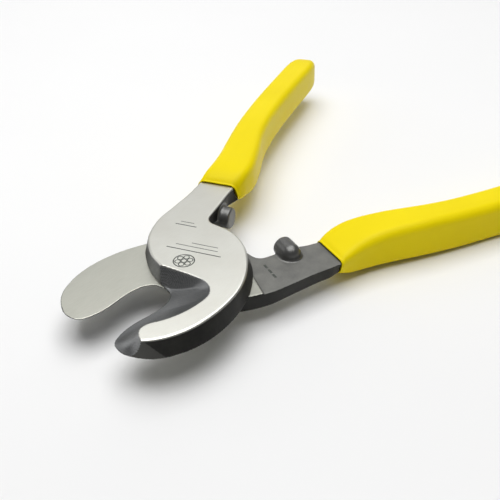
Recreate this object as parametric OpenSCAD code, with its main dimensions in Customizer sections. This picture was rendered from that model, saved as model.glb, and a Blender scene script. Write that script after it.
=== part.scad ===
// Cable cutter: two identical forged halves crossing on a flush pivot, with slip-on vinyl grips.
// +X points along the centre line toward the jaws, +Z out of the polished front face.
// The origin is on the polished front face, over the pivot axis. Lengths are in millimetres.

/* [Forged halves] */
// Thickness of each forged half, from its sliding face to its polished face
half_thickness = 6.3; // [5.5:0.1:7.5]
// Gap between the two sliding faces, filled by grease
slide_gap = 0.05; // [0.02:0.01:0.1]

/* [Blade] */
// Flat land left at the cutting edge
edge_land = 0.3; // [0.15:0.05:0.6]
// How far the ground hollow sags below a straight bevel
hollow_sag = 1.15; // [0.4:0.05:1.5]

/* [Handle] */
// Depth that the forged handle drops below the sliding face beside the head
relief_start = 0.35; // [0.1:0.05:0.8]
// Depth of the same drop at the mouth of the grip
relief_end = 1.35; // [0.8:0.05:1.8]
// How far the lower inner edge of the front handle leans in beside the grip
front_flare = 3.4; // [0:0.1:4]
// Radius of the stop boss on the inner edge of the front handle
boss_radius = 4.2; // [3.6:0.05:4.8]
// Distance of the front stop boss behind the pivot
boss_back = 35.2; // [34:0.1:37]
// Length of the round part of the stop boss, before its ball end
boss_length = 8; // [6:0.5:12]
// Gap left between the front stop boss and the centre line with the jaws shut
boss_gap = 0.1; // [0.05:0.05:0.3]
// How much smaller the radius of the rear stop boss is
rear_boss_less = 0.35; // [0:0.05:0.5]
// How much nearer to the pivot the rear stop boss sits
rear_boss_shift = 1.2; // [0:0.1:1.5]
// How much shorter the rear stop boss is
rear_boss_set_back = 1.6; // [0:0.1:2]

/* [Grips] */
// Clearance between a grip and the steel inside it
grip_clearance = 0.08; // [0.03:0.01:0.2]

/* [Pivot] */
// Diameter of the plain bearing length of the pivot stud
journal_diameter = 11; // [9:0.1:12]
// Running clearance of the bearing, on the radius
journal_clearance = 0.03; // [0.01:0.01:0.08]
// Diameter of the threaded nose in the front half
nose_diameter = 9; // [7:0.1:10]
// Length of the threaded nose
nose_length = 4.4; // [3.5:0.1:4.8]
// Diameter of the threaded tail under the nut
tail_diameter = 8; // [6:0.1:9]
// Diameter of the recess in the back face of the rear half
recess_diameter = 17; // [15:0.1:17.6]
// Depth of the recess
recess_depth = 2.8; // [2.4:0.1:3.2]
// Thickness of the round nut
nut_thickness = 1.6; // [1.4:0.1:2]
// Thickness of the flat washer
washer_thickness = 0.5; // [0.3:0.05:0.6]
// Thickness of the spring washer
spring_thickness = 0.35; // [0.25:0.05:0.45]
// Rise of the spring washer cone
spring_rise = 0.2; // [0.1:0.05:0.25]

/* [Pose] */
// Angle of each half from shut, as drawn
open_angle = 21; // [0:0.5:30]

/* [Hidden] */
T = half_thickness;
fit = 0.02;
steel_color = [0.80, 0.80, 0.76];
dark_color = [0.36, 0.36, 0.34];
grip_color = [0.96, 0.88, 0.16];
nut_radius = recess_diameter / 2 - 0.3;
journal_length = T + slide_gap - recess_depth - 0.1;
washer_z = T - recess_depth + 0.05;
spring_z = washer_z + washer_thickness + 0.05;
nut_z = T - nut_thickness;

// Plan of one half with the jaws shut, its jaw on the +Y side. Each row holds the outline
// beside the sliding face, then the same point of the outline around the polished face.
blade_edge = [
    [12.8, -5.6, 12.6, -5.5],
    [15.1, -2.0, 15.1, -2.0],
    [17.3, -0.9, 17.3, -0.9],
    [19.8, -0.6, 19.8, -0.6],
    [23.5, -1.3, 23.5, -1.3],
    [27.5, -2.9, 27.5, -2.9],
    [31.5, -5.0, 31.5, -5.0],
    [35.7, -6.6, 35.7, -6.6],
    [40.0, -7.3, 40.0, -7.3],
    [43.2, -6.8, 43.2, -6.8],
    [45.2, -4.6, 45.2, -4.6],
    [46.3, -2.0, 46.3, -2.0],
    [46.5, 0.9, 46.4, 0.9]
];
jaw_back = [
    [46.1, 4.6, 45.1, 3.9],
    [44.9, 8.4, 43.3, 7.4],
    [42.2, 12.4, 40.5, 11.0],
    [37.2, 17.0, 35.4, 15.3],
    [30.4, 20.7, 29.0, 18.6],
    [23.0, 22.9, 22.3, 20.9],
    [15.5, 23.8, 15.4, 22.2],
    [8.3, 23.6, 8.6, 22.1],
    [1.3, 22.2, 2.0, 20.7],
    [-5.3, 19.9, -4.6, 18.2],
    [-11.2, 16.3, -10.3, 15.0],
    [-16.3, 11.2, -15.2, 10.5],
    [-19.5, 5.5, -18.5, 5.7]
];
notch = [
    [-21.0, 0.4, -20.0, 0.9],
    [-22.1, -2.9, -21.2, -2.5],
    [-24.3, -4.7, -23.5, -4.3]
];
handle_inside = [
    [-27.2, -4.9, -27.2, -4.5],
    [-29.6, -4.2, -29.6, -4.5],
    [-31.8, -2.2, -31.8, -4.5],
    [-36.1, -1.5, -36.1, -4.5],
    [-40.2, -2.8, -40.2, -4.5],
    [-42.0, -4.9, -42.0, -4.5],
    [-45.0, -5.1, -45.0, -4.5],
    [-47.8, -5.2, -47.8, -4.5]
];
handle_outside = [
    [-47.8, -20.9, -47.8, -18.9],
    [-45.0, -21.1, -45.0, -19.0],
    [-36.0, -21.7, -36.0, -19.6],
    [-24.5, -23.3, -24.5, -21.2],
    [-17.5, -23.9, -17.5, -22.1],
    [-10.6, -23.2, -11.1, -21.6]
];
head_side = [
    [-4.2, -21.6, -5.2, -20.1],
    [1.4, -18.1, 0.2, -17.3],
    [6.5, -13.9, 5.0, -13.4],
    [10.3, -9.5, 9.0, -8.1]
];

// Edges of the tang under the grip, as x, inner y and outer y. It steps in behind the mouth of the grip.
tang_rows = [
    [-48.35, -6.0, -17.0],
    [-49.2, -6.0, -17.0],
    [-54, -6.0, -17.0],
    [-62, -6.4, -16.9],
    [-74, -8.6, -17.4],
    [-90, -12.0, -19.4],
    [-110, -14.6, -21.2],
    [-140, -16.0, -22.2],
    [-170, -16.2, -22.4]
];
tang_end = -180;
face_end = -48.42;

// Boundary of the polished face around the ground hollow, then the matching point of the cutting edge.
hollow_rows = [
    [8.6, -11.5, 13.2, -11.0],
    [9.0, -8.0, 13.4, -6.2],
    [9.5, -4.2, 15.1, -2.0],
    [10.2, 0.4, 16.7, -1.1],
    [11.0, 4.7, 18.3, -0.7],
    [12.1, 9.0, 20.3, -0.6],
    [14.7, 12.5, 22.6, -1.0],
    [18.7, 14.0, 25.4, -2.0],
    [23.8, 12.8, 28.8, -3.6],
    [29.4, 10.0, 32.8, -5.5],
    [34.3, 6.1, 36.4, -6.8],
    [37.2, 2.7, 39.8, -7.3],
    [39.9, 1.3, 42.6, -7.1],
    [42.4, 1.8, 44.9, -5.0],
    [44.4, 3.5, 46.4, -1.5],
    [46.3, 6.2, 48.2, 2.6]
];

// Grip sections: x, outer y, inner y, lower z, upper z, corner radius, and how far the outer wall leans out
// toward its lower edge.
grip_rows = [
    [-48.5, -19.4, -4.0, 0.6, 7.1, 1.6, 1.9],
    [-50.2, -19.1, -3.0, -0.4, 8.5, 2.3, 1.7],
    [-53.5, -18.9, -1.8, -1.4, 9.8, 2.9, 1.3],
    [-57.5, -18.7, -1.1, -2.3, 10.5, 3.2, 0.8],
    [-63.0, -18.8, -1.2, -3.2, 10.9, 3.4, 0.3],
    [-70.0, -19.4, -2.4, -3.9, 11.1, 3.4, 0],
    [-79.0, -20.6, -4.4, -4.3, 11.4, 3.4, 0],
    [-89.0, -21.8, -6.9, -4.4, 11.8, 3.4, 0],
    [-100.0, -22.8, -8.6, -4.1, 12.2, 3.4, 0],
    [-112.0, -23.6, -9.6, -3.9, 12.3, 3.4, 0],
    [-126.0, -24.3, -10.2, -3.8, 12.3, 3.4, 0],
    [-142.0, -24.7, -10.4, -3.8, 12.3, 3.4, 0],
    [-158.0, -24.9, -10.4, -3.8, 12.3, 3.4, 0],
    [-170.0, -25.0, -10.3, -3.8, 12.3, 3.4, 0],
    [-179.0, -24.8, -10.5, -3.7, 12.2, 3.4, 0],
    [-185.0, -24.0, -11.3, -3.1, 11.6, 3.4, 0],
    [-188.8, -22.4, -12.9, -1.8, 10.3, 3.2, 0],
    [-190.0, -20.2, -15.1, 0.3, 8.2, 2.2, 0]
];

// Smooth curve through the rows, four steps to each row.
function between(a, b, c, d, t) =
    b + 0.5 * t * ((c - a) + t * ((2 * a - 5 * b + 4 * c - d) + t * (3 * b - 3 * c + d - a)));
function ring(p, k) =
    let (n = len(p))
    [for (i = [0:n - 1]) for (j = [0:k - 1])
        between(p[(i + n - 1) % n], p[i], p[(i + 1) % n], p[(i + 2) % n], j / k)];
function line(p, k) =
    let (n = len(p) - 1)
    [for (i = [0:n - 1]) for (j = [0:k - (i == n - 1 ? 0 : 1)])
        between(p[max(i - 1, 0)], p[i], p[i + 1], p[min(i + 2, n)], j / k)];

// Outline at a share s of the way from the sliding face (0) to the polished face (1), inset by d.
function layer(r, s, z, d) =
    let (n = len(r))
    [for (i = [0:n - 1])
        let (
            a = r[(i + n - 1) % n], b = r[(i + 1) % n],
            dx = b[0] - a[0], dy = b[1] - a[1], m = norm([dx, dy])
        )
        [
            r[i][0] + s * (r[i][2] - r[i][0]) - d * dy / m,
            r[i][1] + s * (r[i][3] - r[i][1]) + d * dx / m,
            z
        ]];

// Solid through a stack of rings with the same number of points each.
module skin(rings) {
    m = len(rings);
    n = len(rings[0]);
    polyhedron(
        points = [for (r = rings) each r],
        faces = [
            [for (i = [0:n - 1]) i],
            [for (i = [n - 1:-1:0]) (m - 1) * n + i],
            for (k = [0:m - 2]) for (i = [0:n - 1]) each
                let (a = k * n + i, b = k * n + (i + 1) % n)
                [[a, a + n, b + n], [a, b + n, b]]
        ]
    );
}

// Outline of the tang as a ring of rows, smooth along its length.
tang_ring = concat(
    [for (p = tang_rows) [p[0], p[1], p[0], p[1]]],
    [[tang_end, -17.0, tang_end, -17.0], [tang_end, -21.6, tang_end, -21.6]],
    [for (i = [len(tang_rows) - 1:-1:0]) let (p = tang_rows[i]) [p[0], p[2], p[0], p[2]]]
);

// Steel blank of one half before the hollow is ground. The lower inner edge leans in by the flare beside the grip.
module blank(flare) {
    inside = [for (p = handle_inside)
        let (w = max(0, min(1, (-41 - p[0]) / 6)))
        [p[0], p[1] + flare * w, p[2], p[3]]];
    r = ring(concat(blade_edge, jaw_back, notch, inside, tang_ring, handle_outside, head_side), 3);
    intersection() {
        skin([layer(r, -1 / T, -1, 0), layer(r, 1 + 1 / T, T + 1, 0)]);
        translate([-200, -60, 0])
            cube([260, 120, T]);
    }
}

// Space above the ground hollow of the blade.
module hollow() {
    rows = line(hollow_rows, 3);
    skin([for (p = rows)
        let (e = [p[2], p[3]], f = [p[0], p[1]], u = (f - e) / norm(f - e))
        [
            [e[0] - 3 * u[0], e[1] - 3 * u[1], edge_land - 0.1],
            for (t = [-0.07, 0.16, 0.37, 0.58, 0.79, 1.08])
                let (q = e + t * (f - e), tt = max(t, 0))
                [q[0], q[1], edge_land + (T - edge_land) * tt - 4 * hollow_sag * tt * (1 - t)],
            [f[0] + u[0], f[1] + u[1], T + 3],
            [e[0] - 3 * u[0], e[1] - 3 * u[1], T + 3]
        ]]);
}

// Space taken by the tang inside the grip, grown by g.
module tang_space(g) {
    mouth_ring = ring(concat([[-44, -6, -44, -6]], tang_ring, [[-44, -17, -44, -17]]), 3);
    intersection() {
        skin([
            layer(mouth_ring, 0, -1, -g),
            layer(mouth_ring, 0, T + 1, -g)
        ]);
        rotate([90, 0, 0])
            linear_extrude(height = 60, center = true)
                polygon([
                    [-40, relief_end - g],
                    [-186, relief_end - g],
                    [-186, 4.8 + g],
                    [-84, 4.8 + g],
                    [-62, T + g],
                    [-40, T + g]
                ]);
    }
}

// Cuts on the handle: the relief below the sliding face and the thinner tang under the grip.
module handle_cuts() {
    translate([-15.3, -19, 0])
        rotate([0, 0, 7.6])
            rotate([90, 0, 0])
                linear_extrude(height = 90, center = true)
                    polygon([
                        [0, -1],
                        [0, relief_start],
                        [-31.5, relief_end],
                        [-190, relief_end],
                        [-190, -1]
                    ]);
    rotate([90, 0, 0])
        linear_extrude(height = 90, center = true)
            polygon([
                [face_end, T + 2],
                [-190, T + 2],
                [-190, 4.8],
                [-84, 4.8],
                [-62, T - 0.15],
                [face_end, T - 0.15]
            ]);
}

// Round boss that stops the handles when the jaws are shut. The rear one differs a little.
module boss(rear) {
    tip = 0.8;
    r = boss_radius - (rear ? rear_boss_less : 0);
    back = boss_back - (rear ? rear_boss_shift : 0);
    gap = boss_gap + (rear ? rear_boss_set_back : 0);
    long = boss_length + boss_gap - gap;
    translate([-back, 0, 0])
        rotate([90, 0, 0]) {
            translate([0, 0, gap])
                cylinder(h = tip, r1 = r - tip, r2 = r, $fn = 48);
            translate([0, 0, gap + tip])
                cylinder(h = long - tip, r = r, $fn = 48);
        }
    translate([-back, -gap - long, 0])
        sphere(r = r, $fn = 48);
}

// One forged and ground half, shut, with its sliding face at z = 0.
module half(rear) {
    difference() {
        union() {
            difference() {
                blank(rear ? 0 : front_flare);
                handle_cuts();
            }
            intersection() {
                boss(rear);
                translate([-60, -40, -10])
                    cube([50, 60, 10 + T - 0.6]);
            }
        }
        hollow();
    }
}

module grip() {
    difference() {
        skin([for (p = line(grip_rows, 3)) grip_ring(p)]);
        tang_space(grip_clearance);
    }
}

function grip_ring(p) =
    [for (c = [0:3]) for (j = [0:5])
        let (
            a = 90 * c + 18 * j,
            cy = (c < 2 ? p[2] - p[5] : p[1] + p[5]),
            cz = (c == 0 || c == 3 ? p[4] - p[5] : p[3] + p[5]),
            y = cy + p[5] * sin(a),
            z = cz + p[5] * cos(a),
            lean = p[6] * (c < 2 ? 0 : (p[4] - z) / (p[4] - p[3]))
        )
        [p[0], y - lean, z]];

module place_front() {
    translate([0, 0, -T])
        rotate([0, 0, open_angle])
            children();
}

module place_rear() {
    translate([0, 0, -T - slide_gap])
        rotate([0, 0, -open_angle])
            rotate([180, 0, 0])
                children();
}

module front_half() {
    color(steel_color)
        place_front()
            difference() {
                half(false);
                translate([0, 0, -1])
                    cylinder(h = nose_length + 1.2, d = nose_diameter + 2 * fit, $fn = 64);
            }
}

module rear_half() {
    color(dark_color)
        place_rear()
            difference() {
                half(true);
                translate([0, 0, -1])
                    cylinder(h = T + 2, d = journal_diameter + 2 * journal_clearance, $fn = 64);
                translate([0, 0, T - recess_depth])
                    cylinder(h = recess_depth + 1, d = recess_diameter, $fn = 64);
            }
}

module front_grip() {
    color(grip_color)
        place_front()
            grip();
}

module rear_grip() {
    color(grip_color)
        place_rear()
            grip();
}

module pivot_stud() {
    color(dark_color)
        translate([0, 0, -T]) {
            cylinder(h = nose_length, d = nose_diameter, $fn = 64);
            translate([0, 0, -journal_length - fit])
                cylinder(h = journal_length, d = journal_diameter, $fn = 64);
            translate([0, 0, -T - slide_gap])
                cylinder(h = T + slide_gap, d = tail_diameter, $fn = 64);
        }
}

module thrust_washer() {
    color(steel_color)
        place_rear()
            translate([0, 0, washer_z])
                difference() {
                    cylinder(h = washer_thickness, r = nut_radius, $fn = 64);
                    translate([0, 0, -1])
                        cylinder(h = 3, d = tail_diameter + 0.2, $fn = 64);
                }
}

module spring_washer() {
    r0 = tail_diameter / 2 + 0.1;
    r1 = nut_radius - 0.6;
    color(dark_color)
        place_rear()
            translate([0, 0, spring_z])
                rotate_extrude($fn = 64)
                    polygon([
                        [r0, spring_rise],
                        [r1, 0],
                        [r1, spring_thickness],
                        [r0, spring_rise + spring_thickness]
                    ]);
}

module lock_nut() {
    color(dark_color)
        place_rear()
            translate([0, 0, nut_z])
                difference() {
                    cylinder(h = nut_thickness, r = nut_radius, $fn = 64);
                    translate([0, 0, -1])
                        cylinder(h = nut_thickness + 2, d = tail_diameter + 2 * fit, $fn = 64);
                    for (a = [0, 180])
                        rotate([0, 0, a])
                            translate([6.1, 0, 0.5])
                                cylinder(h = 3, d = 1.8, $fn = 32);
                }
}

front_half();
rear_half();
front_grip();
rear_grip();
pivot_stud();
thrust_washer();
spring_washer();
lock_nut();
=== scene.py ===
"""Cable cutter: forged and ground halves, slip-on vinyl grips, pivot hardware, studio."""
import math

import bmesh
import bpy
import numpy as np
import openvdb
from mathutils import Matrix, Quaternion, Vector


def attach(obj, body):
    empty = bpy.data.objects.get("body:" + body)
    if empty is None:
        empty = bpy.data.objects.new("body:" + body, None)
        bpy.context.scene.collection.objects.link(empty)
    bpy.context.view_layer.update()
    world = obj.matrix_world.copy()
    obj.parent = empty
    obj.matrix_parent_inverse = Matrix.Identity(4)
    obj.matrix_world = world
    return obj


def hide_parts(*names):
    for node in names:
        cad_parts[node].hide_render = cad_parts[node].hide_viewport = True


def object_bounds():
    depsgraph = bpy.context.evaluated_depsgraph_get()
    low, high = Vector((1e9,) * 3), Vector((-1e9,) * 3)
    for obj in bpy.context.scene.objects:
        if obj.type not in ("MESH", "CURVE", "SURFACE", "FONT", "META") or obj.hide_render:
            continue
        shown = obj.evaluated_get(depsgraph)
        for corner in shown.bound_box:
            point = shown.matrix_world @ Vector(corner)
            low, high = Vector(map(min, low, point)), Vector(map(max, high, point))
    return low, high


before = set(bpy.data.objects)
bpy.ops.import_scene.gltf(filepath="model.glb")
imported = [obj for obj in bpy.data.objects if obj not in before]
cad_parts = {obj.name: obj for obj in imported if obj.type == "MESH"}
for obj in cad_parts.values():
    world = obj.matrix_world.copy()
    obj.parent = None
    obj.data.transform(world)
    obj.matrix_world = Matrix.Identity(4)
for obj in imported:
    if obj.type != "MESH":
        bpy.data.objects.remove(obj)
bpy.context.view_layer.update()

MM = 0.001
THICK = 6.3            # one half, from its sliding face to its polished face
GAP = 0.05             # between the two sliding faces
OPEN = math.radians(21.0)
VOXEL = 0.25

# ---------------------------------------------------------------- outlines of one half (mm)
BLADE_EDGE = [
    (12.8, -5.6, 12.6, -5.5), (15.1, -2.0, 15.1, -2.0), (17.3, -0.9, 17.3, -0.9),
    (19.8, -0.6, 19.8, -0.6), (23.5, -1.3, 23.5, -1.3), (27.5, -2.9, 27.5, -2.9),
    (31.5, -5.0, 31.5, -5.0), (35.7, -6.6, 35.7, -6.6), (40.0, -7.3, 40.0, -7.3),
    (43.2, -6.8, 43.2, -6.8), (45.2, -4.6, 45.2, -4.6), (46.3, -2.0, 46.3, -2.0),
    (46.5, 0.9, 46.4, 0.9),
]
JAW_BACK = [
    (46.1, 4.6, 45.1, 3.9), (44.9, 8.4, 43.3, 7.4), (42.2, 12.4, 40.5, 11.0),
    (37.2, 17.0, 35.4, 15.3), (30.4, 20.7, 29.0, 18.6), (23.0, 22.9, 22.3, 20.9),
    (15.5, 23.8, 15.4, 22.2), (8.3, 23.6, 8.6, 22.1), (1.3, 22.2, 2.0, 20.7),
    (-5.3, 19.9, -4.6, 18.2), (-11.2, 16.3, -10.3, 15.0), (-16.3, 11.2, -15.2, 10.5),
    (-19.5, 5.5, -18.5, 5.7),
]
NOTCH = [(-21.0, 0.4, -20.0, 0.9), (-22.1, -2.9, -21.2, -2.5), (-24.3, -4.7, -23.5, -4.3)]
HANDLE_INSIDE = [
    (-27.2, -4.9, -27.2, -4.5), (-29.6, -4.6, -29.6, -4.5), (-31.8, -4.2, -31.8, -4.5),
    (-36.1, -3.9, -36.1, -4.5), (-40.2, -4.3, -40.2, -4.5), (-42.0, -4.9, -42.0, -4.5),
    (-45.0, -5.1, -45.0, -4.5), (-47.8, -5.2, -47.8, -4.5),
]
TANG = [(-48.35, -6.0, -17.0), (-49.2, -6.0, -17.0), (-54, -6.0, -17.0), (-62, -6.4, -16.9)]
HANDLE_OUTSIDE = [
    (-47.8, -20.9, -47.8, -18.9), (-45.0, -21.1, -45.0, -19.0), (-36.0, -21.7, -36.0, -19.6),
    (-24.5, -23.3, -24.5, -21.2), (-17.5, -23.9, -17.5, -22.1), (-10.6, -23.2, -11.1, -21.6),
]
HEAD_SIDE = [
    (-4.2, -21.6, -5.2, -20.1), (1.4, -18.1, 0.2, -17.3), (6.5, -13.9, 5.0, -13.4),
    (10.3, -9.5, 9.0, -8.1),
]
# face boundary x, y, then the matching point of the cutting edge
HOLLOW = [
    (8.6, -11.5, 13.2, -11.0), (9.0, -8.0, 13.4, -6.2), (9.5, -4.2, 15.1, -2.0),
    (10.2, 0.4, 16.7, -1.1), (11.0, 4.7, 18.3, -0.7), (12.1, 9.0, 20.3, -0.6),
    (14.7, 12.5, 22.6, -1.0), (18.7, 14.0, 25.4, -2.0), (23.8, 12.8, 28.8, -3.6),
    (29.4, 10.0, 32.8, -5.5), (34.3, 6.1, 36.4, -6.8), (37.2, 2.7, 39.8, -7.3),
    (39.9, 1.3, 42.6, -7.1), (42.4, 1.8, 44.9, -5.0), (44.4, 3.5, 46.4, -1.5),
    (46.3, 6.2, 48.2, 2.6),
]
EDGE_LAND, HOLLOW_SAG = 0.3, 1.15
CREASE = ([0, 2, 4, 5.5, 7], [0.15, 0.30, 0.58, 0.84, 1.0])    # row number, place across the hollow
CREASE_DIP = 2.4
BACK_SWELL = 1.5       # less draft on the outer wall of the rear handle
# radius, distance behind the pivot and end plane of the stop boss
BOSS = {"front": (4.2, 35.2, -0.1), "rear": (3.85, 34.0, -1.7)}
BOSS_TURN = -8.1       # where the boss turns into its ball end
BOSS_FILLET = 1.1
FRONT_BORE, FRONT_BORE_DEPTH = 4.52, 4.4
REAR_BORE, RECESS, RECESS_DEPTH = 5.53, 8.5, 2.8
FACE_END = -48.4       # the polished face ends here, a step above the tang
FACE_STEP = 0.15
EDGE_ROUND = 0.65      # round of the polished face's edge
RELIEF_CORNER, RELIEF_TURN = (-15.3, -19.0), math.radians(7.6)
RELIEF_STEP, RELIEF_FALL, RELIEF_RUN = 0.35, 1.0, 31.5
FLARE = 3.4            # lean of the lower inner edge of the front handle beside its grip

# x, outer y, inner y, lower z, upper z, corner radius, outward lean of the lower outer edge
GRIP = [
    (-48.5, -19.5, -3.8, 0.35, 7.25, 2.3, 1.9), (-50.2, -19.1, -3.0, -0.5, 8.5, 2.7, 1.7),
    (-53.5, -18.9, -1.8, -1.4, 9.8, 3.0, 1.3), (-57.5, -18.7, -1.1, -2.3, 10.5, 3.2, 0.8),
    (-63.0, -18.8, -1.2, -3.2, 10.9, 3.4, 0.3), (-70.0, -19.4, -2.4, -3.9, 11.1, 3.4, 0),
    (-79.0, -20.6, -4.4, -4.3, 11.4, 3.4, 0), (-89.0, -21.8, -6.9, -4.4, 11.8, 3.4, 0),
    (-100.0, -22.8, -8.6, -4.1, 12.2, 3.4, 0), (-112.0, -23.6, -9.6, -3.9, 12.3, 3.4, 0),
    (-126.0, -24.3, -10.2, -3.8, 12.3, 3.4, 0), (-142.0, -24.7, -10.4, -3.8, 12.3, 3.4, 0),
    (-158.0, -24.9, -10.4, -3.8, 12.3, 3.4, 0), (-170.0, -25.0, -10.3, -3.8, 12.3, 3.4, 0),
    (-179.0, -24.8, -10.5, -3.7, 12.2, 3.4, 0), (-185.0, -24.0, -11.3, -3.1, 11.6, 3.4, 0),
    (-188.8, -22.4, -12.9, -1.8, 10.3, 3.2, 0), (-190.0, -20.2, -15.1, 0.3, 8.2, 2.2, 0),
]


def smooth_rows(rows, steps, closed=False):
    """Catmull-Rom curve through the rows."""
    p = np.array(rows, float)
    n = len(p)
    out = []
    for i in range(n if closed else n - 1):
        if closed:
            a, b, c, d = p[i - 1], p[i], p[(i + 1) % n], p[(i + 2) % n]
        else:
            a, b, c, d = p[max(i - 1, 0)], p[i], p[i + 1], p[min(i + 2, n - 1)]
        for j in range(steps):
            t = j / steps
            bend = 2 * a - 5 * b + 4 * c - d
            twist = 3 * b - 3 * c + d - a
            out.append(b + 0.5 * t * ((c - a) + t * (bend + t * twist)))
    if not closed:
        out.append(p[-1])
    return np.array(out)


def turn_z(angle):
    c, s = math.cos(angle), math.sin(angle)
    return np.array([[c, -s, 0], [s, c, 0], [0, 0, 1.0]])


FLIP = np.diag([1.0, -1.0, -1.0])
PLACE = {
    "front": (turn_z(OPEN), np.array([0, 0, -THICK])),
    "rear": (turn_z(-OPEN) @ FLIP, np.array([0, 0, -THICK - GAP])),
}


def placed(points, half):
    turn, shift = PLACE[half]
    return (points @ turn.T + shift) * MM


def step(x, low, high):
    t = np.clip((x - low) / (high - low), 0, 1)
    return t * t * (3 - 2 * t)


def new_object(name, mesh):
    ob = bpy.data.objects.new(name, mesh)
    bpy.context.scene.collection.objects.link(ob)
    return ob


def face_outwards(mesh):
    bm = bmesh.new()
    bm.from_mesh(mesh)
    bmesh.ops.recalc_face_normals(bm, faces=bm.faces)
    bm.to_mesh(mesh)
    bm.free()


def mesh_from(name, points, quads):
    mesh = bpy.data.meshes.new(name)
    mesh.from_pydata(np.asarray(points).tolist(), [], [list(map(int, q)) for q in quads])
    mesh.update()
    return mesh


# ---------------------------------------------------------------- steel halves
def outline_distance(px, py, poly):
    """Signed distance from each grid point to a closed outline, negative inside."""
    best = np.full(px.shape, 1e9)
    inside = np.zeros(px.shape, bool)
    for a, b in zip(poly, np.roll(poly, -1, 0)):
        ex, ey = b - a
        t = np.clip(((px - a[0]) * ex + (py - a[1]) * ey) / (ex * ex + ey * ey + 1e-12), 0, 1)
        best = np.minimum(best, (px - a[0] - t * ex) ** 2 + (py - a[1] - t * ey) ** 2)
        if abs(ey) > 1e-12:
            cross = (a[1] > py) != (b[1] > py)
            inside ^= cross & (px < a[0] + (py - a[1]) * ex / ey)
    d = np.sqrt(best)
    return np.where(inside, -d, d)


def hollow_height(px, py, x0, y0, h):
    """Height of the ground hollow over each grid point, high where there is none."""
    height = np.full(px.shape, THICK + 4.0)
    rows = smooth_rows(HOLLOW, 8)
    ts = np.concatenate([np.linspace(-0.3, 1.0, 22), [1.06, 1.14, 1.25]])
    grid = []
    for k, (f_x, f_y, e_x, e_y) in enumerate(rows):
        tt = np.maximum(ts, 0)
        z = EDGE_LAND + (THICK - EDGE_LAND) * tt - 4 * HOLLOW_SAG * tt * (1 - ts)
        # a crease parts the steep shoulder under the face from the flatter ground below it
        c = float(np.interp(k / 8, *CREASE))
        dip = EDGE_LAND + (THICK - EDGE_LAND) * c - (4 * HOLLOW_SAG + CREASE_DIP) * c * (1 - c)
        split = np.where(ts < c, EDGE_LAND + (dip - EDGE_LAND) * (tt / c) ** 1.2,
                         dip + (THICK - dip) * (ts - c) / max(1 - c, 0.01))
        share = c ** 5
        z = np.where(ts <= 1, z * share + split * (1 - share), z)
        grid.append(np.c_[e_x + ts * (f_x - e_x), e_y + ts * (f_y - e_y), z])
    grid = np.array(grid)
    for i in range(len(grid) - 1):
        for j in range(len(ts) - 1):
            quad = (grid[i, j], grid[i + 1, j], grid[i + 1, j + 1], grid[i, j + 1])
            for tri in ((quad[0], quad[1], quad[2]), (quad[0], quad[2], quad[3])):
                a, b, c = tri
                i0 = max(int(math.floor((min(a[0], b[0], c[0]) - x0) / h)), 0)
                i1 = min(int(math.ceil((max(a[0], b[0], c[0]) - x0) / h)) + 1, px.shape[0])
                j0 = max(int(math.floor((min(a[1], b[1], c[1]) - y0) / h)), 0)
                j1 = min(int(math.ceil((max(a[1], b[1], c[1]) - y0) / h)) + 1, px.shape[1])
                if i0 >= i1 or j0 >= j1:
                    continue
                gx, gy = px[i0:i1, j0:j1], py[i0:i1, j0:j1]
                den = (b[1] - c[1]) * (a[0] - c[0]) + (c[0] - b[0]) * (a[1] - c[1])
                if abs(den) < 1e-12:
                    continue
                u = ((b[1] - c[1]) * (gx - c[0]) + (c[0] - b[0]) * (gy - c[1])) / den
                v = ((c[1] - a[1]) * (gx - c[0]) + (a[0] - c[0]) * (gy - c[1])) / den
                w = 1 - u - v
                hit = (u > -1e-6) & (v > -1e-6) & (w > -1e-6)
                z = u * a[2] + v * b[2] + w * c[2]
                part = height[i0:i1, j0:j1]
                part[hit] = np.minimum(part[hit], z[hit])
    return height


def meet(a, b, r):
    """Intersection of two solids with an edge rounded to r."""
    return (np.minimum(np.maximum(a, b), -r)
            + np.sqrt(np.maximum(a + r, 0) ** 2 + np.maximum(b + r, 0) ** 2))


def join(a, b, r):
    """Union of two solids with a fillet of r."""
    return (np.maximum(np.minimum(a, b), r)
            - np.sqrt(np.maximum(r - a, 0) ** 2 + np.maximum(r - b, 0) ** 2))


def relief_height(x, y):
    """Height of the handle's underside above the sliding face."""
    c, s = math.cos(RELIEF_TURN), math.sin(RELIEF_TURN)
    u = (x - RELIEF_CORNER[0]) * c + (y - RELIEF_CORNER[1]) * s
    height = RELIEF_STEP + RELIEF_FALL * np.clip(-u / RELIEF_RUN, 0, 1)
    return height * step(-u, -0.1, 0.25), u


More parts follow.
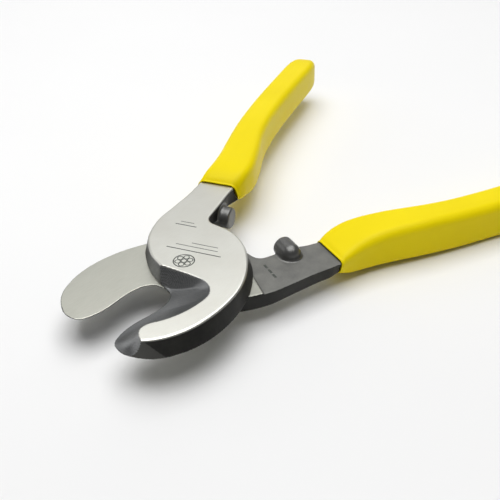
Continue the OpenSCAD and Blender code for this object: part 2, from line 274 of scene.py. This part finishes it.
def forged_half(half):
    """Mesh of one half with its material zones, from a distance field."""
    rear = half == "rear"
    h = VOXEL
    x0, y0, z0 = -60.0, -26.4, -6.0
    nx, ny, nz = int(109 / h), int(53 / h), int(13.6 / h)
    xs, ys, zs = x0 + h * np.arange(nx), y0 + h * np.arange(ny), z0 + h * np.arange(nz)
    px, py = np.meshgrid(xs, ys, indexing="ij")
    inside = [(r[0], r[1] + (0 if rear else FLARE * min(max((-41 - r[0]) / 6, 0), 1)), r[2], r[3])
              for r in HANDLE_INSIDE]
    tang = ([(r[0], r[1], r[0], r[1]) for r in TANG] + [(r[0], r[2], r[0], r[2]) for r in TANG[::-1]])
    ring = smooth_rows(BLADE_EDGE + JAW_BACK + NOTCH + inside + tang + HANDLE_OUTSIDE + HEAD_SIDE, 6, True)
    low = outline_distance(px, py, ring[:, :2])
    if rear:
        ring[:, 3] -= BACK_SWELL * step(ring[:, 0], -49, -42) * (ring[:, 1] < -15) * (ring[:, 0] < -4)
    high = outline_distance(px, py, ring[:, 2:])
    top = hollow_height(px, py, x0, y0, h)
    slope = np.gradient(top, h)
    steep = np.sqrt(1 + np.minimum(slope[0] ** 2 + slope[1] ** 2, 9.0))
    under, _ = relief_height(px, py)

    Z = zs[None, None, :]
    share = np.clip(Z / THICK, -0.15, 1.15)
    body = low[:, :, None] * (1 - share) + high[:, :, None] * share
    upper = np.where(px < FACE_END, THICK - FACE_STEP, THICK)
    body = meet(body, Z - upper[:, :, None], EDGE_ROUND)
    body = meet(body, (under[:, :, None] - Z) + 0 * body, 0.12)
    soft = 0.06 + 1.3 * step(-py, 8.5, 11.5)
    body = meet(body, (Z - top[:, :, None]) / steep[:, :, None], soft[:, :, None])

    radius, back, end = BOSS[half]
    X, Y = px[:, :, None], py[:, :, None]
    run = np.maximum(BOSS_TURN - Y, 0)
    round_part = np.sqrt((X + back) ** 2 + Z ** 2 + run ** 2) - radius
    boss = meet(round_part, (Y - end) + 0 * round_part, 0.9)
    boss = meet(boss, (Z - 5.6) + 0 * boss, 0.3)
    body = join(body, boss, BOSS_FILLET)
    bore = np.sqrt(X ** 2 + Y ** 2)
    if rear:
        body = meet(body, (REAR_BORE - bore) + 0 * body, 0.15)
        body = meet(body, -np.maximum(bore - RECESS, (THICK - RECESS_DEPTH) - Z), 0.25)
    else:
        body = np.maximum(body, -np.maximum(bore - FRONT_BORE, Z - FRONT_BORE_DEPTH))
    body = np.ascontiguousarray(np.clip(body, -3 * h, 3 * h), np.float32)

    grid = openvdb.FloatGrid(3 * h)
    grid.copyFromArray(body)
    points, quads = grid.convertToQuads(0.0)
    points, quads = np.array(points, float), np.array(quads, np.int64)
    cell = np.clip(points, 0, np.array(body.shape) - 1.001)
    base = cell.astype(int)
    part = cell - base
    gradient = np.gradient(body)
    normal = np.zeros_like(points)
    for axis in range(3):
        g = gradient[axis]
        for corner in range(8):
            o = [(corner >> k) & 1 for k in range(3)]
            w = np.ones(len(points))
            for k in range(3):
                w = w * (part[:, k] if o[k] else 1 - part[:, k])
            normal[:, axis] += w * g[base[:, 0] + o[0], base[:, 1] + o[1], base[:, 2] + o[2]]
    normal /= np.linalg.norm(normal, axis=1)[:, None] + 1e-12
    points = points * h + np.array([x0, y0, z0])
    # the wide flat faces are made exactly flat
    flat = (normal[:, 2] > 0.995) & (np.abs(points[:, 2] - THICK) < 0.05)
    points[flat, 2] = THICK
    flat = (normal[:, 2] < -0.995) & (np.abs(points[:, 2]) < 0.05)
    points[flat, 2] = 0.0

    x, y, z = points.T
    ix = np.clip(((x - x0) / h).astype(int), 0, nx - 1)
    iy = np.clip(((y - y0) / h).astype(int), 0, ny - 1)
    ground = top[ix, iy]
    _, u = relief_height(x, y)
    in_hollow = step(THICK + 2.0 - ground, 0.0, 0.3) * step(0.35 - np.abs(z - ground), 0.0, 0.2)
    in_hollow *= step(normal[:, 2], 0.05, 0.25) * (z < THICK - 0.02)
    polished = step(normal[:, 2], 0.35, 0.75) * step(z, THICK - 0.75, THICK - 0.45) * (1 - in_hollow)
    sliding = step(-normal[:, 2], 0.6, 0.9) * (z < 0.1) * (u > 0) * np.where(x < -9, 0.72, 1.0)
    underside = step(-normal[:, 2], 0.3, 0.7) * (u <= 0)
    on_boss = ((x + back) ** 2 + np.minimum(0, y - BOSS_TURN) ** 2 < (radius + 0.8) ** 2) & (y > -13.5)
    on_boss = on_boss & (z < 5.7) & ((z < under[ix, iy] - 0.1) | (y > -4.4))
    wall = 1 - step(np.abs(normal[:, 2]), 0.5, 0.8)
    side = 0.8 * wall * step(x, 0.0, 8.0) * step(-y, 6.0, 10.0) * (1 - polished)
    in_hollow = np.maximum(in_hollow, side)
    tip_face = wall * (1 - in_hollow) * step(x, 42.0, 42.6) * step(4.4 + 6.8 * (1 - z / THICK) - y, -0.1, 0.1)
    zones = np.c_[polished, in_hollow, sliding, np.ones(len(points))]
    return points, normal, quads, zones, underside, on_boss.astype(float), tip_face


def build_half(half):
    points, normal, quads, zones, underside, on_boss, tip_face = forged_half(half)
    turn, _ = PLACE[half]
    world = placed(points, half)
    normal = normal @ turn.T
    a, b, c = (world[quads[:, k]] for k in range(3))
    out = np.einsum("ij,ij->i", np.cross(b - a, c - a), normal[quads[:, 0]])
    if out.sum() < 0:
        quads = quads[:, ::-1]
    mesh = mesh_from(half + "_forging", world, quads)
    zone = mesh.attributes.new("zones", "FLOAT_COLOR", "POINT")
    zone.data.foreach_set("color", zones.astype(np.float32).ravel())
    for name, values in (("underside", underside), ("boss", on_boss), ("tip_face", tip_face)):
        layer = mesh.attributes.new(name, "FLOAT", "POINT")
        layer.data.foreach_set("value", values.astype(np.float32))
    mesh.polygons.foreach_set("use_smooth", [True] * len(mesh.polygons))
    mesh.normals_split_custom_set_from_vertices(normal.tolist())
    return new_object(half + "_forging", mesh)


# ---------------------------------------------------------------- grips
def grip_section(row, inner_lean=0.0, grow=0.0):
    """Points round one section of a grip, with soft corners."""
    x, outer, inner, low, high, r, lean = row
    outer, inner, low, high = outer - grow, inner + grow, low - grow, high + grow
    r = max(r + grow, 0.3)
    pts = []
    per = 9
    for c in range(4):
        for j in range(per + 1):
            a = math.radians(90 * c + 90 * j / per)
            cy = inner - r if c < 2 else outer + r
            cz = high - r if c in (0, 3) else low + r
            pts.append([x, cy + r * math.sin(a), cz + r * math.cos(a)])
        # points along the flat that follows this corner
        a0 = math.radians(90 * (c + 1))
        nxt = (c + 1) % 4
        ey = inner - r if nxt < 2 else outer + r
        ez = high - r if nxt in (0, 3) else low + r
        start = np.array(pts[-1])
        stop = np.array([x, ey + r * math.sin(a0), ez + r * math.cos(a0)])
        for k in range(1, 5):
            pts.append((start + (stop - start) * k / 5).tolist())
    pts = np.array(pts)
    drop = (high - pts[:, 2]) / (high - low)
    side = np.clip((inner - pts[:, 1]) / (inner - outer), 0, 1)
    pts[:, 1] += -lean * drop * side + inner_lean * drop * (1 - side)
    return pts


def build_grip(half):
    lean = 2.0 if half == "front" else 0.0
    rows = smooth_rows(GRIP, 8)

    def fade(x):
        return lean * (1 - step(-x, 48.5, 57.0))

    sections = [grip_section(r, fade(r[0])) for r in rows]
    first = rows[0].copy()
    lip = []
    # the mouth: a thin rolled lip that turns back inside, down to a blind floor round the tang
    for dx, grow in ((0.55, -0.02), (0.75, -0.16), (0.80, -0.32), (0.72, -0.46), (0.4, -0.55),
                     (-0.6, -0.62), (-1.8, -0.75), (-3.0, -0.9)):
        row = first.copy()
        row[0] += dx
        lip.append(grip_section(row, fade(first[0]), grow))
    floor = lip[-1].mean(0)
    rings = [floor + (lip[-1] - floor) * s for s in (0.35, 0.7)] + lip[::-1] + sections
    end = sections[-1].mean(0)
    for s, dx in ((0.72, -0.12), (0.4, -0.2)):
        ring = end + (sections[-1] - end) * s
        ring[:, 0] += dx
        rings.append(ring)
    n = len(rings[0])
    points = np.concatenate(rings + [[floor, end + [-0.22, 0, 0]]])
    faces = []
    for k in range(len(rings) - 1):
        for i in range(n):
            a, b = k * n + i, k * n + (i + 1) % n
            faces.append((a, b, b + n, a + n))
    hub, tip, last = len(points) - 2, len(points) - 1, (len(rings) - 1) * n
    faces += [(hub, (i + 1) % n, i) for i in range(n)]
    faces += [(tip, last + i, last + (i + 1) % n) for i in range(n)]
    world = placed(points, half)
    mesh = mesh_from(half + "_sleeve", world, faces)
    mesh.polygons.foreach_set("use_smooth", [True] * len(mesh.polygons))
    face_outwards(mesh)
    return new_object(half + "_sleeve", mesh)


# ---------------------------------------------------------------- etched marks
def flat_piece(name, loops, half, low, high, underside=False):
    """Closed thin plates from outlines, each a ring of outer points and a ring of inner ones."""
    points, faces = [], []
    for outer, inner in loops:
        n = len(outer)
        base = len(points)
        for z in (low, high):
            points += [(p[0], p[1], z) for p in outer] + [(p[0], p[1], z) for p in inner]
        for i in range(n):
            j = (i + 1) % n
            o0, o1, i0, i1 = base + i, base + j, base + n + i, base + n + j
            t = 2 * n
            faces += [(o0 + t, o1 + t, i1 + t, i0 + t), (o0, i0, i1, o1),
                      (o0, o1, o1 + t, o0 + t), (i0, i0 + t, i1 + t, i1)]
    points = np.array(points, float)
    if underside:
        points[:, 2] += relief_height(points[:, 0], points[:, 1])[0]
    mesh = mesh_from(name, placed(points, half), faces)
    face_outwards(mesh)
    return new_object(name, mesh)


def circle(cx, cy, r, n=40):
    turns = [2 * math.pi * i / n for i in range(n)]
    return [(cx + r * math.cos(a), cy + r * math.sin(a)) for a in turns]


def ring_loop(cx, cy, r, w, n=40):
    return circle(cx, cy, r + w / 2, n), circle(cx, cy, r - w / 2, n)


def bar_loop(x0, y0, x1, y1, w):
    """A thin bar as a narrow closed band round a slit."""
    d = np.array([x1 - x0, y1 - y0], float)
    d /= np.linalg.norm(d)
    s = np.array([-d[1], d[0]])
    a, b = np.array([x0, y0]), np.array([x1, y1])
    outer = [a - s * w / 2, b - s * w / 2, b + s * w / 2, a + s * w / 2]
    inner = [a + d * w * 0.4 - s * 0.01, b - d * w * 0.4 - s * 0.01,
             b - d * w * 0.4 + s * 0.01, a + d * w * 0.4 + s * 0.01]
    return [tuple(p) for p in outer], [tuple(p) for p in inner]


# ---------------------------------------------------------------- node helpers
class Nodes:
    """Short hands for building a node tree."""

    def __init__(self, name):
        self.material = bpy.data.materials.new(name)
        self.material.use_nodes = True
        self.tree = self.material.node_tree
        self.shader = self.tree.nodes["Principled BSDF"]

    def add(self, kind, **values):
        node = self.tree.nodes.new(kind)
        for key, value in values.items():
            if key.startswith("in_"):
                node.inputs[key[3:].replace("_", " ")].default_value = value
            else:
                setattr(node, key, value)
        return node

    def link(self, a, b):
        self.tree.links.new(a, b)

    def attribute(self, name):
        return self.add("ShaderNodeAttribute", attribute_name=name)

    def coords(self, scale=(1, 1, 1), turn=0.0):
        tex = self.add("ShaderNodeTexCoord")
        mapping = self.add("ShaderNodeMapping")
        mapping.inputs["Scale"].default_value = scale
        mapping.inputs["Rotation"].default_value = (0, 0, turn)
        self.link(tex.outputs["Object"], mapping.inputs["Vector"])
        return mapping.outputs["Vector"]

    def noise(self, vector, scale, detail=3.0, rough=0.5):
        node = self.add("ShaderNodeTexNoise")
        node.inputs["Scale"].default_value = scale
        node.inputs["Detail"].default_value = detail
        node.inputs["Roughness"].default_value = rough
        self.link(vector, node.inputs["Vector"])
        return node.outputs["Fac"]

    def ramp(self, value, low, high, to_low=0.0, to_high=1.0):
        node = self.add("ShaderNodeMapRange")
        node.inputs["From Min"].default_value = low
        node.inputs["From Max"].default_value = high
        node.inputs["To Min"].default_value = to_low
        node.inputs["To Max"].default_value = to_high
        self.link(value, node.inputs["Value"])
        return node.outputs["Result"]

    def math(self, operation, a, b=None):
        node = self.add("ShaderNodeMath", operation=operation)
        for socket, value in zip(node.inputs, (a, b)):
            if value is None:
                continue
            if isinstance(value, (int, float)):
                socket.default_value = value
            else:
                self.link(value, socket)
        return node.outputs[0]

    def mix(self, factor, a, b, kind="RGBA"):
        node = self.add("ShaderNodeMix", data_type=kind)
        ins = [s for s in node.inputs if s.type == ("RGBA" if kind == "RGBA" else "VALUE")]
        if kind == "RGBA":
            f, sa, sb = node.inputs[0], ins[0], ins[1]
            out = [s for s in node.outputs if s.type == "RGBA"][0]
        else:
            f, sa, sb = node.inputs[0], node.inputs[2], node.inputs[3]
            out = node.outputs[0]
        for socket, value in ((f, factor), (sa, a), (sb, b)):
            if isinstance(value, (int, float)):
                socket.default_value = value
            elif isinstance(value, tuple):
                socket.default_value = (*value, 1.0)
            else:
                self.link(value, socket)
        return out

    def bump(self, height, strength, distance, normal=None):
        node = self.add("ShaderNodeBump")
        node.inputs["Strength"].default_value = strength
        node.inputs["Distance"].default_value = distance
        self.link(height, node.inputs["Height"])
        if normal is not None:
            self.link(normal, node.inputs["Normal"])
        return node.outputs["Normal"]


def steel_material(half):
    """Polished face, ground hollow, sliding face and oxide-black forging, told apart by zones; the forging's
    side walls carry a near-black painted shade.
    """
    m = Nodes(half + "_steel_finish")
    zones = m.add("ShaderNodeSeparateColor")
    m.link(m.attribute("zones").outputs["Color"], zones.inputs["Color"])
    polished, hollow, sliding = (zones.outputs[i] for i in range(3))
    underside = m.attribute("underside").outputs["Fac"]
    boss = m.attribute("boss").outputs["Fac"]
    tip = m.attribute("tip_face").outputs["Fac"]
    turn = -OPEN if half == "front" else OPEN
    cloud = m.noise(m.coords(), 55.0, 4.0, 0.55)
    patch = m.noise(m.coords(), 180.0, 5.0, 0.6)
    grain = m.noise(m.coords((1, 18, 18), turn), 260.0, 4.0, 0.65)
    cross = m.noise(m.coords((9, 1.0, 1.0), turn + 0.45), 500.0, 3.0, 0.6)
    scale_grit = m.noise(m.coords(), 1500.0, 3.0, 0.6)

    # painted shade: the side walls get a near-black copy of the forged colour, far darker than the forged
    # underside though both are the same oxide-black steel
    wall = m.mix(m.ramp(patch, 0.35, 0.7), (0.006, 0.006, 0.005), (0.016, 0.016, 0.013))
    forged = m.mix(m.ramp(patch, 0.3, 0.7), (0.145, 0.145, 0.137), (0.20, 0.20, 0.185))
    forged = m.mix(m.ramp(scale_grit, 0.60, 0.80, 0.0, 0.5), forged, (0.26, 0.26, 0.24))
    lump = m.mix(m.ramp(patch, 0.3, 0.7), (0.11, 0.11, 0.107), (0.17, 0.17, 0.163))
    slide = m.mix(m.ramp(grain, 0.3, 0.7), (0.55, 0.555, 0.49), (0.62, 0.62, 0.555))
    ground = m.mix(m.ramp(cross, 0.3, 0.7), (0.235, 0.24, 0.245), (0.29, 0.295, 0.295))
    bright = m.mix(m.ramp(cloud, 0.35, 0.65), (0.77, 0.765, 0.70), (0.83, 0.83, 0.77))
    bright = m.mix(m.ramp(grain, 0.35, 0.75, 0.0, 0.35), bright, (0.70, 0.69, 0.64))
    # the handle's underside takes the forged colour; every other forged face takes the near-black painted
    # shade of the walls
    colour = m.mix(underside, wall, forged)
    colour = m.mix(boss, colour, lump)
    colour = m.mix(tip, colour, (0.055, 0.055, 0.050))
    colour = m.mix(sliding, colour, slide)
    colour = m.mix(hollow, colour, ground)
    colour = m.mix(polished, colour, bright)
    m.link(colour, m.shader.inputs["Base Color"])

    rough = m.mix(underside, 0.42, 0.48, "FLOAT")
    rough = m.mix(boss, rough, 0.33, "FLOAT")
    rough = m.mix(sliding, rough, 0.36, "FLOAT")
    rough = m.mix(hollow, rough, 0.36, "FLOAT")
    rough = m.mix(polished, rough, 0.35, "FLOAT")
    rough = m.math("ADD", rough, m.ramp(grain, 0.3, 0.7, -0.04, 0.05))
    m.link(rough, m.shader.inputs["Roughness"])
    metal = m.mix(underside, 0.55, 0.7, "FLOAT")
    metal = m.mix(m.math("MAXIMUM", m.math("MAXIMUM", polished, hollow), sliding), metal, 1.0, "FLOAT")
    m.link(metal, m.shader.inputs["Metallic"])

    machined = m.math("MAXIMUM", m.math("MAXIMUM", polished, hollow), sliding)
    lines = m.mix(hollow, grain, m.math("MULTIPLY", cross, 0.4), "FLOAT")
    first = m.bump(m.math("MULTIPLY", lines, machined), 0.25, 0.00002)
    rest = m.math("MULTIPLY", scale_grit, m.math("SUBTRACT", 1.0, machined))
    m.link(m.bump(rest, 0.30, 0.00008, first), m.shader.inputs["Normal"])
    return m.material


def vinyl_material():
    m = Nodes("yellow_vinyl_finish")
    broad = m.noise(m.coords(), 40.0, 3.0)
    fine = m.noise(m.coords(), 1400.0, 3.0, 0.55)
    scuff = m.noise(m.coords((1, 1, 1)), 320.0, 6.0, 0.7)
    colour = m.mix(m.ramp(broad, 0.3, 0.7), (0.84, 0.67, 0.002), (0.88, 0.71, 0.004))
    colour = m.mix(m.ramp(scuff, 0.68, 0.82, 0.0, 0.25), colour, (0.70, 0.56, 0.02))
    m.link(colour, m.shader.inputs["Base Color"])
    m.link(m.math("ADD", m.ramp(scuff, 0.3, 0.8, 0.30, 0.42), m.ramp(fine, 0.3, 0.7, -0.03, 0.03)),
           m.shader.inputs["Roughness"])
    m.link(m.bump(fine, 0.25, 0.00006), m.shader.inputs["Normal"])
    m.shader.inputs["Subsurface Weight"].default_value = 0.08
    m.shader.inputs["Subsurface Radius"].default_value = (0.002, 0.0015, 0.0005)
    m.shader.inputs["Subsurface Scale"].default_value = 0.5
    m.shader.inputs["Specular IOR Level"].default_value = 0.08
    return m.material


def turned_material(name, dark, light, rough):
    """Turned or rolled hardware: rings of tool marks and a little grime."""
    m = Nodes(name)
    rings = m.add("ShaderNodeTexWave", wave_type="RINGS", rings_direction="Z")
    rings.inputs["Scale"].default_value = 900.0
    rings.inputs["Distortion"].default_value = 2.0
    rings.inputs["Detail"].default_value = 2.0
    m.link(m.coords(), rings.inputs["Vector"])
    patch = m.noise(m.coords(), 300.0, 4.0, 0.6)
    colour = m.mix(m.ramp(patch, 0.3, 0.7), dark, light)
    m.link(colour, m.shader.inputs["Base Color"])
    m.link(m.ramp(patch, 0.3, 0.7, rough - 0.06, rough + 0.08), m.shader.inputs["Roughness"])
    m.shader.inputs["Metallic"].default_value = 0.9
    m.link(m.bump(rings.outputs["Fac"], 0.25, 0.00003), m.shader.inputs["Normal"])
    return m.material


def mark_material():
    m = Nodes("etched_mark_finish")
    speck = m.noise(m.coords(), 900.0, 3.0, 0.6)
    colour = m.mix(m.ramp(speck, 0.35, 0.7), (0.04, 0.045, 0.04), (0.12, 0.13, 0.115))
    m.link(colour, m.shader.inputs["Base Color"])
    m.link(m.ramp(speck, 0.3, 0.7, 0.5, 0.7), m.shader.inputs["Roughness"])
    m.shader.inputs["Metallic"].default_value = 0.5
    return m.material


# ---------------------------------------------------------------- pieces
vinyl = vinyl_material()
mark = mark_material()
for half in ("front", "rear"):
    steel = build_half(half)
    steel.data.materials.append(steel_material(half))
    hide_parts(half + "_half")
    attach(steel, half)
    grip = build_grip(half)
    grip.data.materials.append(vinyl)
    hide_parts(half + "_grip")
    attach(grip, half)

# a cable seen end on, with plain rules beside it, on the polished face of the front half
hub_x, hub_y = 4.4, -1.4
loops = [ring_loop(hub_x, hub_y, 3.6, 0.42), ring_loop(hub_x, hub_y, 0.95, 0.34, 24)]
for i in range(6):
    a = math.pi / 3 * i
    loops.append(ring_loop(hub_x + 2.15 * math.cos(a), hub_y + 2.15 * math.sin(a), 0.95, 0.34, 24))
for rule in ((-1.6, -11.0, -1.6, 9.6, 0.42), (-4.2, -8.6, -4.2, 7.4, 0.30), (-6.3, -3.4, -6.3, 6.6, 0.30),
             (-16.2, -14.6, -16.2, -6.2, 0.42), (-18.2, -13.4, -18.2, -8.0, 0.30)):
    loops.append(bar_loop(*rule))
icon = flat_piece("front_mark", loops, "front", THICK - 0.02, THICK + 0.012)
dashes = [bar_loop(-22.9, y, -22.9, y + 2.3, 0.9) for y in (-17.4, -14.3, -11.2)]
stamp = flat_piece("rear_mark", dashes, "rear", -0.03, 0.03, underside=True)
for piece, half in ((icon, "front"), (stamp, "rear")):
    piece.data.materials.append(mark)
    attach(piece, half)

for name, dark, light, rough in (
        ("pivot_stud", (0.28, 0.28, 0.27), (0.42, 0.42, 0.40), 0.32),
        ("thrust_washer", (0.42, 0.42, 0.40), (0.58, 0.58, 0.55), 0.30),
        ("spring_washer", (0.10, 0.11, 0.14), (0.18, 0.19, 0.22), 0.34),
        ("lock_nut", (0.05, 0.05, 0.05), (0.11, 0.11, 0.105), 0.40)):
    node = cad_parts[name]
    finish = turned_material(name + "_finish", dark, light, rough)
    node.data.materials.clear()
    node.data.materials.append(finish)

# ---------------------------------------------------------------- studio
scene = bpy.context.scene
low_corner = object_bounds()[0]
bpy.ops.mesh.primitive_plane_add(size=4.0, location=(0, 0, low_corner[2] - 0.0002))
floor = bpy.context.object
floor.name = "studio_floor"
paper = Nodes("studio_paper")
paper_cloud = paper.ramp(paper.noise(paper.coords(), 3.0), 0.3, 0.7)
paper_tone = paper.mix(paper_cloud, (0.85, 0.85, 0.85), (0.88, 0.88, 0.88))
paper.link(paper_tone, paper.shader.inputs["Base Color"])
paper.shader.inputs["Roughness"].default_value = 0.9
floor.data.materials.append(paper.material)

world = bpy.data.worlds.new("studio")
scene.world = world
world.use_nodes = True
background = world.node_tree.nodes["Background"]
background.inputs["Color"].default_value = (1.0, 1.0, 1.0, 1.0)
sky = world.node_tree.nodes
direction = sky.new("ShaderNodeTexCoord")
split = sky.new("ShaderNodeSeparateXYZ")
fade = sky.new("ShaderNodeMapRange")
for socket, value in zip(("From Min", "From Max", "To Min", "To Max"), (0.02, 0.20, 0.32, 0.10)):
    fade.inputs[socket].default_value = value
world.node_tree.links.new(direction.outputs["Generated"], split.inputs["Vector"])
world.node_tree.links.new(split.outputs["Z"], fade.inputs["Value"])
world.node_tree.links.new(fade.outputs["Result"], background.inputs["Strength"])


def soft_box(name, place, target, size, power):
    lamp = bpy.data.lights.new(name, "AREA")
    lamp.shape = "RECTANGLE"
    lamp.size, lamp.size_y = size
    lamp.energy = power
    ob = bpy.data.objects.new(name, lamp)
    scene.collection.objects.link(ob)
    ob.location = place
    ob.rotation_euler = (Vector(target) - Vector(place)).to_track_quat("-Z", "Y").to_euler()


soft_box("top_box", (-0.10, -0.10, 1.20), (-0.05, 0.0, 0.0), (1.35, 1.35), 19.0)
soft_box("back_box", (-0.75, -0.70, 0.75), (0.0, 0.0, 0.0), (1.4, 1.2), 2.6)
soft_box("side_box", (0.3, -1.0, 0.35), (0.0, 0.0, 0.0), (0.6, 0.6), 1.0)

CAMERA_PLACE = Vector((127.1, 145.3, 133.4))
CAMERA_TARGET = Vector((-17.7, 10.3, -3.0))
CAMERA_ROLL = -1.85    # degrees
camera_data = bpy.data.cameras.new("camera")
camera_data.sensor_width = 36.0
camera_data.lens = 48.96
camera_data.clip_start = 0.01
camera = bpy.data.objects.new("camera", camera_data)
scene.collection.objects.link(camera)
camera.location = CAMERA_PLACE * MM
aim = (CAMERA_TARGET - CAMERA_PLACE).to_track_quat("-Z", "Y")
camera.rotation_mode = "QUATERNION"
camera.rotation_quaternion = aim @ Quaternion((0, 0, 1), math.radians(CAMERA_ROLL))
scene.camera = camera
scene.view_settings.view_transform = "Standard"
